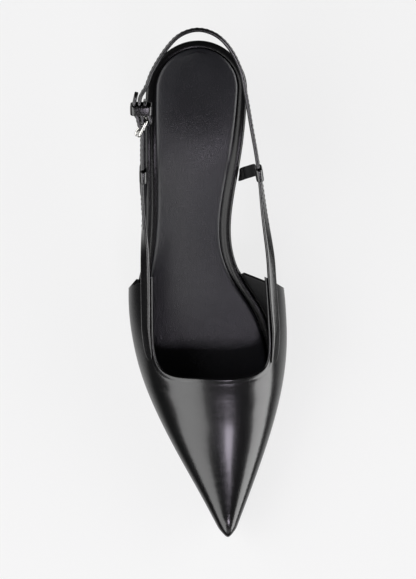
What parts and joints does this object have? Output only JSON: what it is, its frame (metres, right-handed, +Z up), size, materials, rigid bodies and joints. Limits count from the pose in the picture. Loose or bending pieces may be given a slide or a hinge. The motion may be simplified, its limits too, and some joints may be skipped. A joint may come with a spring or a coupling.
{
  "type": "slingback pump",
  "caption": "Pointed black leather slingback pump for the right foot, with low side wings, a thin buckled heel strap and a slim mid heel.",
  "frame": {"origin": "on the floor, under the middle of the heel's top lift", "axes": "+Z up, toe towards -Y, heel towards +Y, inner side of the foot towards +X"},
  "size_m": [0.0783, 0.2459, 0.1037],
  "materials": {
    "gloss_leather": "brushed-off black leather with a high gloss",
    "wrapped_leather": "black leather wrapped over the footbed's edge and the heel, glossy",
    "sock_leather": "soft matt black sock leather",
    "sole_leather": "black painted sole, satin",
    "lift_rubber": "black moulded top lift, matt",
    "buckle_steel": "polished silver plating"
  },
  "bodies": {
    "root": {"outsole": "sole_leather", "insole_board": "wrapped_leather", "sock": "sock_leather", "upper": "gloss_leather", "heel": "wrapped_leather", "heel_tip": "lift_rubber", "strap_sling": "gloss_leather", "strap_lateral": "gloss_leather", "side_band_medial": "gloss_leather", "side_band_lateral": "gloss_leather", "buckle_frame": "buckle_steel", "buckle_prong": "buckle_steel", "strap_loop": "gloss_leather"}
  },
  "joints": []
}
